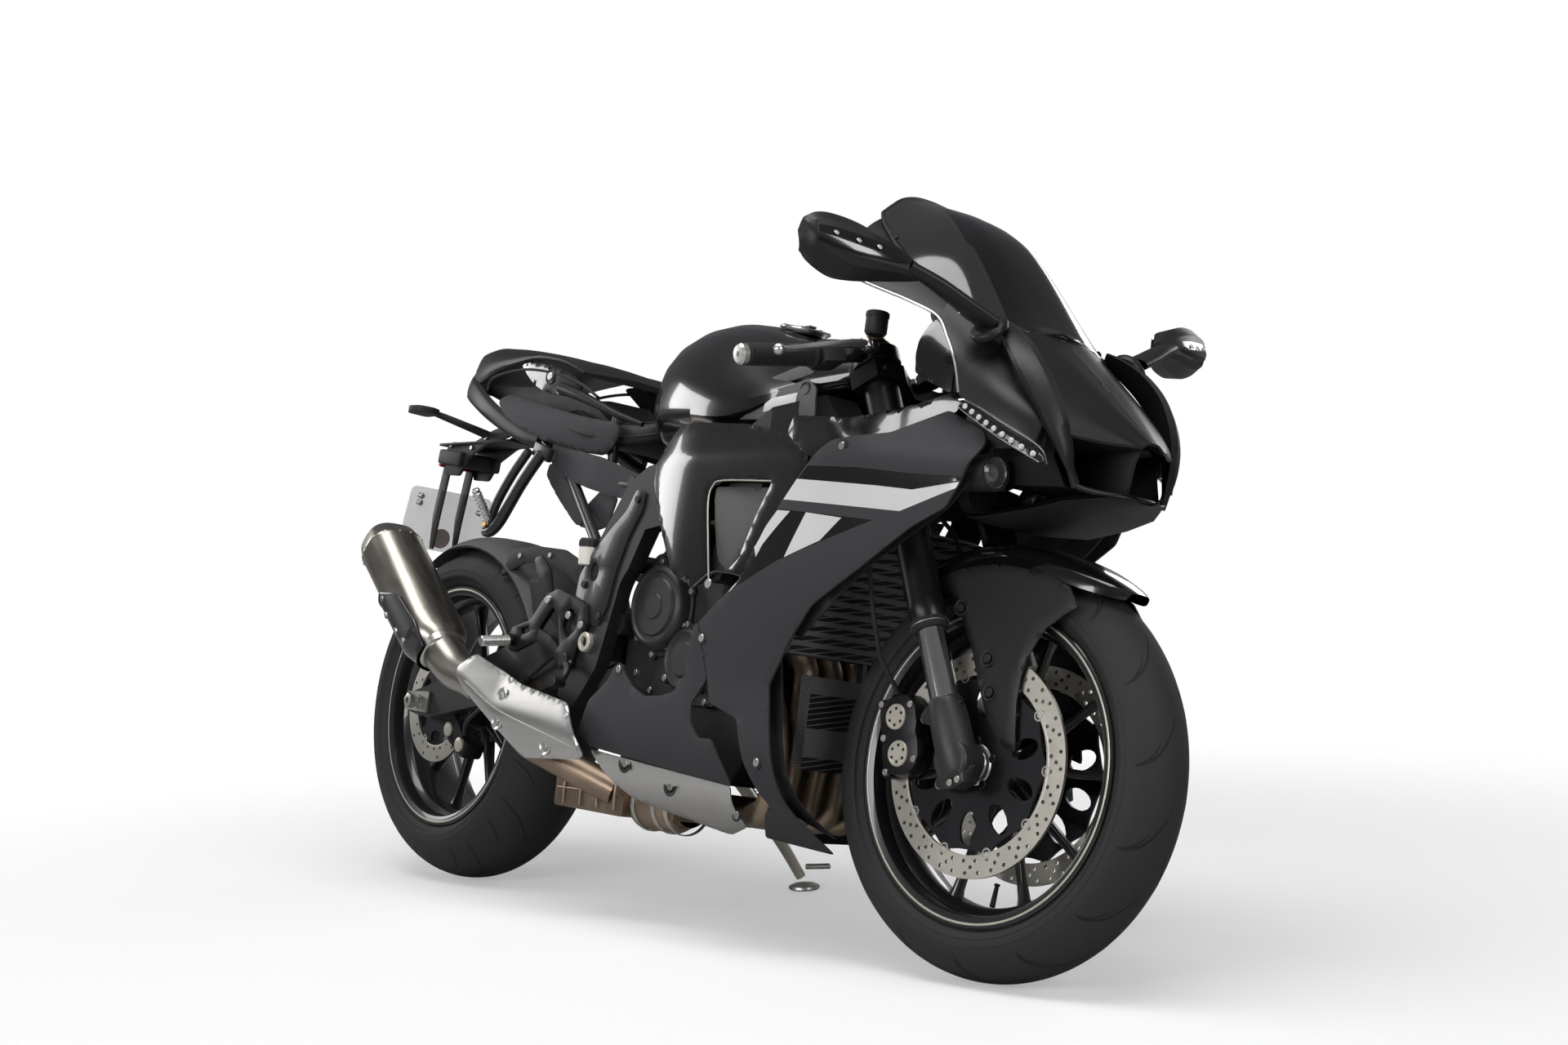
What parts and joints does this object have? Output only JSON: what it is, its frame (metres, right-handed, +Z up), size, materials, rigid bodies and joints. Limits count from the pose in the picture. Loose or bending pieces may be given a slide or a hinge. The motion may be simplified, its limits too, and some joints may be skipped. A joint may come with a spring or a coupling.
{
  "type": "sport motorcycle",
  "caption": "Full-fairing sport motorcycle with clip-on bars, alloy wheels, twin front discs and a side muffler, parked leaning on its side stand",
  "frame": {"origin": "centre of the bounding box's bottom face, on the ground", "axes": "+X forward, +Y to the machine's left, the side it leans to, +Z up"},
  "size_m": [2.0238, 0.8288, 1.1522],
  "materials": {
    "bare_aluminium": "satin",
    "black_plastic": "matte",
    "carbon": "gloss",
    "cast_grey": "matte",
    "chain_steel": "satin",
    "chrome_tube": "gloss",
    "dark_anodised": "satin",
    "disc_steel": "satin",
    "frame_black": "matte",
    "gloss_black": "gloss",
    "grey_plastic": "matte",
    "hot_steel": "satin",
    "lamp_glass": "gloss",
    "radiator_core": "matte",
    "rubber": "matte",
    "satin_black": "satin",
    "seat_cover": "matte",
    "smoked_screen": "gloss",
    "titanium": "satin",
    "tyre_rubber": "matte",
    "wheel_black": "gloss"
  },
  "bodies": {
    "chassis": {"main_frame": "frame_black", "engine_block": "cast_grey", "engine_covers": "cast_grey", "swingarm": "dark_anodised", "swingarm_pivot": "bare_aluminium", "rear_axle": "bare_aluminium", "rear_shock": "dark_anodised", "side_cowls": "grey_plastic", "lower_cowls": "grey_plastic", "belly_guard": "bare_aluminium", "windscreen": "smoked_screen", "front_cowl": "satin_black", "dash": "black_plastic", "front_lamps": "lamp_glass", "nose_duct": "black_plastic", "horn": "black_plastic", "mirrors": "satin_black", "fuel_tank": "gloss_black", "tank_covers": "gloss_black", "side_panels": "grey_plastic", "rider_seat": "seat_cover", "tail_cowl": "satin_black", "subframe": "frame_black", "tail_sides": "grey_plastic", "plate_holder": "black_plastic", "muffler": "titanium", "exhaust_box": "hot_steel", "pipe_shield": "bare_aluminium", "heat_shield": "carbon", "header_pipes": "hot_steel", "radiators": "radiator_core", "rearsets": "cast_grey", "passenger_pegs": "frame_black", "rear_hugger": "black_plastic", "rear_caliper": "cast_grey", "front_sprocket": "chain_steel", "drive_chain": "chain_steel"},
    "steering": {"triple_clamps": "dark_anodised", "fork_outer_tubes": "dark_anodised", "fork_inner_tubes": "chrome_tube", "fork_bottoms": "cast_grey", "front_axle": "bare_aluminium", "handlebars": "dark_anodised", "grips": "rubber", "levers": "bare_aluminium", "front_fender": "satin_black", "front_calipers": "cast_grey", "brake_hoses": "rubber"},
    "front_wheel": {"front_tyre": "tyre_rubber", "front_rim": "wheel_black", "front_discs": "disc_steel"},
    "rear_wheel": {"rear_tyre": "tyre_rubber", "rear_rim": "wheel_black", "rear_disc": "disc_steel", "rear_sprocket": "bare_aluminium"},
    "side_stand": {"stand_leg": "bare_aluminium"}
  },
  "joints": [
    {"name": "steering", "type": "hinge", "parent": "chassis", "child": "steering", "pos_m": [0.47215, -0.04346, 0.75796], "axis": [-0.4055, 0.1723, 0.8977], "range_deg": [-29, 19]},
    {"name": "front_wheel_spin", "type": "hinge", "parent": "steering", "child": "front_wheel", "pos_m": [0.71291, -0.12992, 0.29403], "axis": [-0.0799, 0.9716, -0.2226], "continuous": true},
    {"name": "rear_wheel_spin", "type": "hinge", "parent": "chassis", "child": "rear_wheel", "pos_m": [-0.69195, -0.12861, 0.31614], "axis": [-0.0003, 0.9821, -0.1886], "continuous": true},
    {"name": "stand_fold", "type": "hinge", "parent": "chassis", "child": "side_stand", "pos_m": [-0.14202, -0.01061, 0.27235], "axis": [0.2124, 0.8295, 0.5166], "range_deg": [0, 97.1]}
  ]
}
